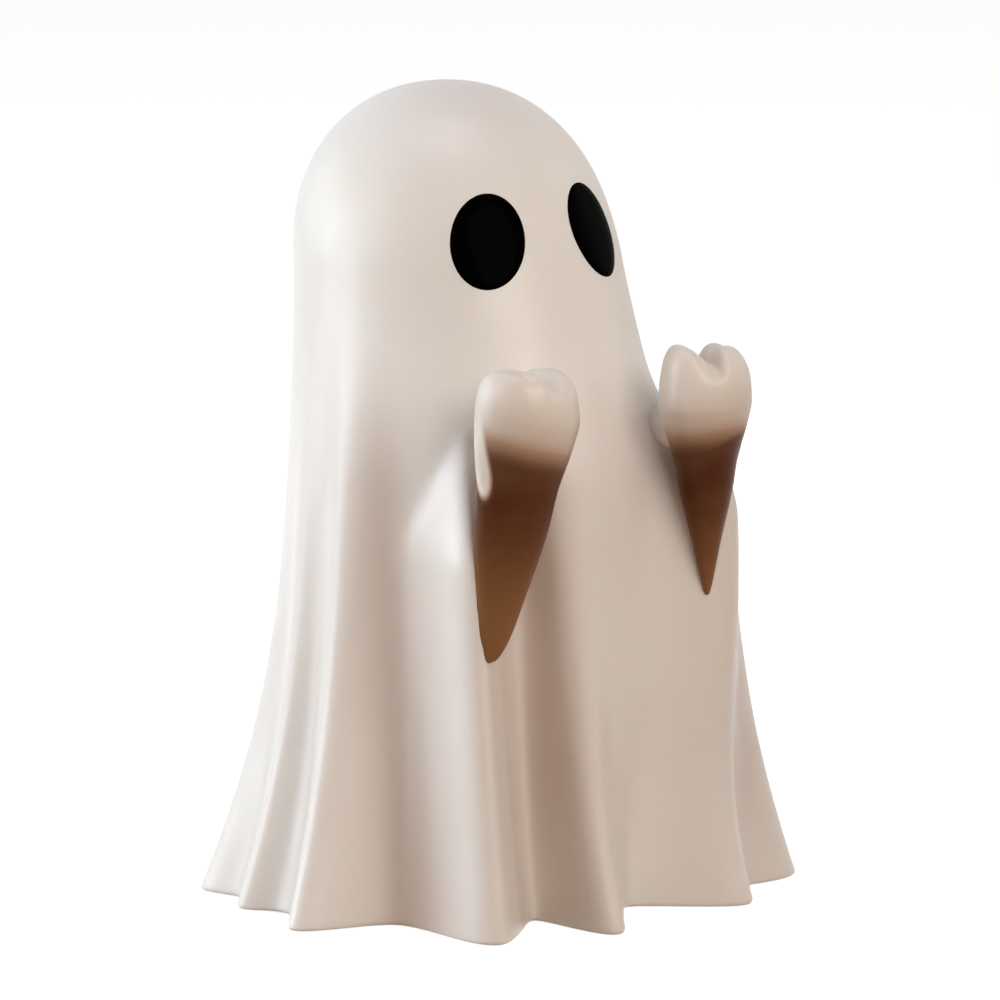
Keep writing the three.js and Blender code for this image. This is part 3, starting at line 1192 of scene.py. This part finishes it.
@dataclass
class Underside:
    """The plate that closes the hollow, and the felt sheet under it."""

    form: SheetForm
    shell: SheetShell
    felt_thickness: float = 1.2
    plate_thickness: float = 3.0
    felt_margin: float = 1.5
    edge_round: float = 0.35

    def disc(self, name: str, margin: float, low: float, thickness: float) -> Item:
        """A flat disc that follows the inside of the hem, with a softened edge.

        Args:
            name: The piece's name.
            margin: How far it reaches past the hollow's wall.
            low: Its underside's height.
            thickness: Its thickness.

        Returns:
            The new object.
        """
        turns, inset, top = self.shell.turns(), self.edge_round, low + thickness
        ledge = np.array([[self.shell.ledge_height]])
        edge = self.form.core(turns, ledge) - self.shell.wall + margin
        # Each row's height, its share of the edge's radius and what is trimmed off that.
        heights = np.array([low, low, low, low + inset, top - inset, top, top, top])[:, None]
        shares = np.array([0.0, 0.5, 1.0, 1.0, 1.0, 1.0, 0.5, 0.0])[:, None]
        trims = np.array([0.0, 0.0, inset, 0.0, 0.0, inset, 0.0, 0.0])[:, None]
        grid = self.form.place(turns, edge * shares - trims, 0 * turns + heights)
        return add_skin(name, grid)

    def build(self) -> list[Item]:
        """Make and dress the plate and the felt.

        Returns:
            Both pieces.
        """
        ledge, plate_low = self.shell.plate_ledge, self.felt_thickness + self.shell.seat_gap
        plate = self.disc("closing_plate", ledge, plate_low, self.plate_thickness)
        felt = self.disc("felt_sheet", ledge - self.felt_margin, 0.0, self.felt_thickness)
        return [
            dress(plate, BARE_RESIN.make(), Slot.PLATE, "base_plate"),
            dress(felt, PRESSED_FELT.make(), Slot.FELT, "base_felt"),
        ]


def split_rays(tree: Tree, others: Socket, seen: Socket, output: str) -> None:
    """Show one shader to the camera, to gloss and to glass, and another to all other rays.

    Args:
        tree: The nodes to add to.
        others: The shader for all other rays.
        seen: The shader for the camera, gloss and glass.
        output: The output node's name.
    """
    path = tree.nodes.new("ShaderNodeLightPath")
    share = path.outputs["Is Camera Ray"]
    for name in ("Is Glossy Ray", "Is Transmission Ray"):
        larger = tree.nodes.new("ShaderNodeMath")
        larger.operation = "MAXIMUM"
        tree.links.new(share, larger.inputs[0])
        tree.links.new(path.outputs[name], larger.inputs[1])
        share = larger.outputs["Value"]
    mix = tree.nodes.new("ShaderNodeMixShader")
    tree.links.new(share, mix.inputs["Fac"])
    tree.links.new(others, mix.inputs[1])
    tree.links.new(seen, mix.inputs[2])
    tree.links.new(mix.outputs["Shader"], tree.nodes[output].inputs["Surface"])


@dataclass(frozen=True)
class Lamp:
    """A square soft lamp: its turn and rise in degrees, its power in watts and its colour."""

    name: str
    turn: float
    rise: float
    power: float
    colour: Colour


@dataclass
class Studio:
    """Camera, soft lights, pale floor and white surroundings."""

    view_turn: float = -35.5
    view_rise: float = 10.0
    distance: float = 2600.0
    field: float = 200.0
    aim: tuple[float, float, float] = (7.2, -5.1, 78.2)
    sensor: float = 36.0
    far_end: float = 100.0
    lamp_distance: float = 800.0
    lamp_size: float = 450.0
    lamp_aim: tuple[float, float, float] = (0.0, 0.0, 80.0)
    lamps: tuple[Lamp, ...] = (
        Lamp("key_left", -125.0, 8.0, 3.4, (0.77, 0.88, 1.0)),
        Lamp("rim_left", -150.0, 15.0, 1.35, (0.88, 0.98, 0.97)),
        Lamp("high_left", -106.0, 26.0, 1.35, (0.97, 0.95, 0.9)),
        Lamp("fill_front", -5.0, 30.0, 2.85, (1.0, 0.91, 0.82)),
        Lamp("low_front", 25.0, 20.0, 0.4, (1.0, 0.9, 0.8)),
        Lamp("side_right", 75.0, 23.0, 0.4, (1.0, 1.0, 0.8)),
        Lamp("top", 0.0, 85.0, 1.5, (0.83, 0.86, 1.0)),
    )
    room_colour: Colour = (1.0, 0.64, 0.52)
    room_strength: float = 0.04
    floor_size: float = 6000.0
    floor_drop: float = 0.05
    floor_colour: Colour = (0.50, 0.38, 0.30)
    floor_roughness: float = 0.9
    seen_floor: Colour = (0.9, 0.89, 0.88)
    floor_glow: float = 0.9

    def camera(self) -> None:
        """Add the camera at the photo's angle, with a long lens."""
        back = direction(self.view_turn, self.view_rise)
        data = bpy.data.cameras.new("camera")
        data.sensor_width = self.sensor
        data.lens = data.sensor_width * self.distance / self.field
        data.clip_end = self.far_end
        camera = add_object("camera", data)
        camera.location = (Vector(self.aim) + back * self.distance) * MM
        camera.rotation_euler = back.to_track_quat("Z", "Y").to_euler()
        bpy.context.scene.camera = camera

    def add_lamp(self, lamp: Lamp) -> None:
        """Add a lamp that faces the figure.

        Args:
            lamp: The lamp's place, power and colour.
        """
        away = direction(lamp.turn, lamp.rise)
        data = bpy.data.lights.new(lamp.name, "AREA")
        data.shape = "SQUARE"
        data.size = self.lamp_size * MM
        data.energy = lamp.power
        data.color = lamp.colour
        item = add_object(lamp.name, data)
        item.location = (Vector(self.lamp_aim) + away * self.lamp_distance) * MM
        item.rotation_euler = away.to_track_quat("Z", "Y").to_euler()

    def world(self) -> None:
        """White to the camera, to gloss and to glass, and a low warm level for everything else."""
        world = bpy.data.worlds.new("surroundings")
        bpy.context.scene.world = world
        world.use_nodes = True
        tree = world.node_tree
        warm = {"Color": (*self.room_colour, 1.0), "Strength": self.room_strength}
        room = fill(tree, tree.nodes["Background"], warm)
        white = fill(tree, tree.nodes.new("ShaderNodeBackground"), WHITE_LIGHT)
        split_rays(tree, room.outputs["Background"], white.outputs["Background"], "World Output")

    def floor(self) -> None:
        """Add the floor: pale where it is seen, and brown in the light that it throws back up."""
        half, low = self.floor_size * MM / 2, -self.floor_drop * MM
        mesh = bpy.data.meshes.new("floor")
        corners = [(-half, -half, low), (half, -half, low), (half, half, low), (-half, half, low)]
        mesh.from_pydata(corners, [], [(0, 1, 2, 3)])
        floor = add_object("floor", mesh)
        material, tree, shader = new_material("pale_floor")
        brown = {"Base Color": (*self.floor_colour, 1.0), "Roughness": self.floor_roughness}
        fill(tree, shader, brown)
        pale = tree.nodes.new("ShaderNodeBsdfDiffuse")
        fill(tree, pale, {"Color": (*self.seen_floor, 1.0)})
        glow = tree.nodes.new("ShaderNodeEmission")
        fill(tree, glow, {**WHITE_LIGHT, "Strength": self.floor_glow})
        both = tree.nodes.new("ShaderNodeAddShader")
        tree.links.new(pale.outputs["BSDF"], both.inputs[0])
        tree.links.new(glow.outputs["Emission"], both.inputs[1])
        split_rays(tree, shader.outputs["BSDF"], both.outputs["Shader"], "Material Output")
        mesh.materials.append(material)

    def build(self) -> None:
        """Set up the whole studio."""
        self.camera()
        for lamp in self.lamps:
            self.add_lamp(lamp)
        self.world()
        self.floor()
        bpy.context.scene.view_settings.view_transform = "Standard"


def main() -> None:
    """Build the studio and the figurine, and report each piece."""
    logging.basicConfig(level=logging.INFO, format="%(message)s")
    Studio().build()
    form = SheetForm()
    shell = SheetShell(form)
    arm_resin = ResinFinish("arm_resin", body=(0.80, 0.73, 0.66), cloud=(0.77, 0.70, 0.62))
    right_arm = RaisedArm(
        "right_arm", -1, drape_tip=55.3, fullness=0.58, hand_crown=11.8, crown_tilt=0.0,
        drape_out=26.9, forearm_turn=25.0,
    )
    left_arm = RaisedArm(
        "left_arm", 1, drape_tip=63.0, fullness=1.0, tip_radius=0.45,
        shade_start=99.6, shade_slope=0.12, band_end=94.9, band_slope=0.7,
    )
    pieces = [
        shell.build(ResinFinish("sheet_resin")),
        right_arm.build(arm_resin),
        left_arm.build(arm_resin),
        InlaidEye(form, "right_eye", turn=-22.6, roll=9.0).build(EyeFinish()),
        InlaidEye(form, "left_eye", turn=26.0, roll=3.0).build(EyeFinish()),
        *Underside(form, shell).build(),
    ]
    for piece in pieces:
        LOG.info("%s: %d faces", piece.name, len(piece.data.polygons))


if __name__ == "__main__":
    main()
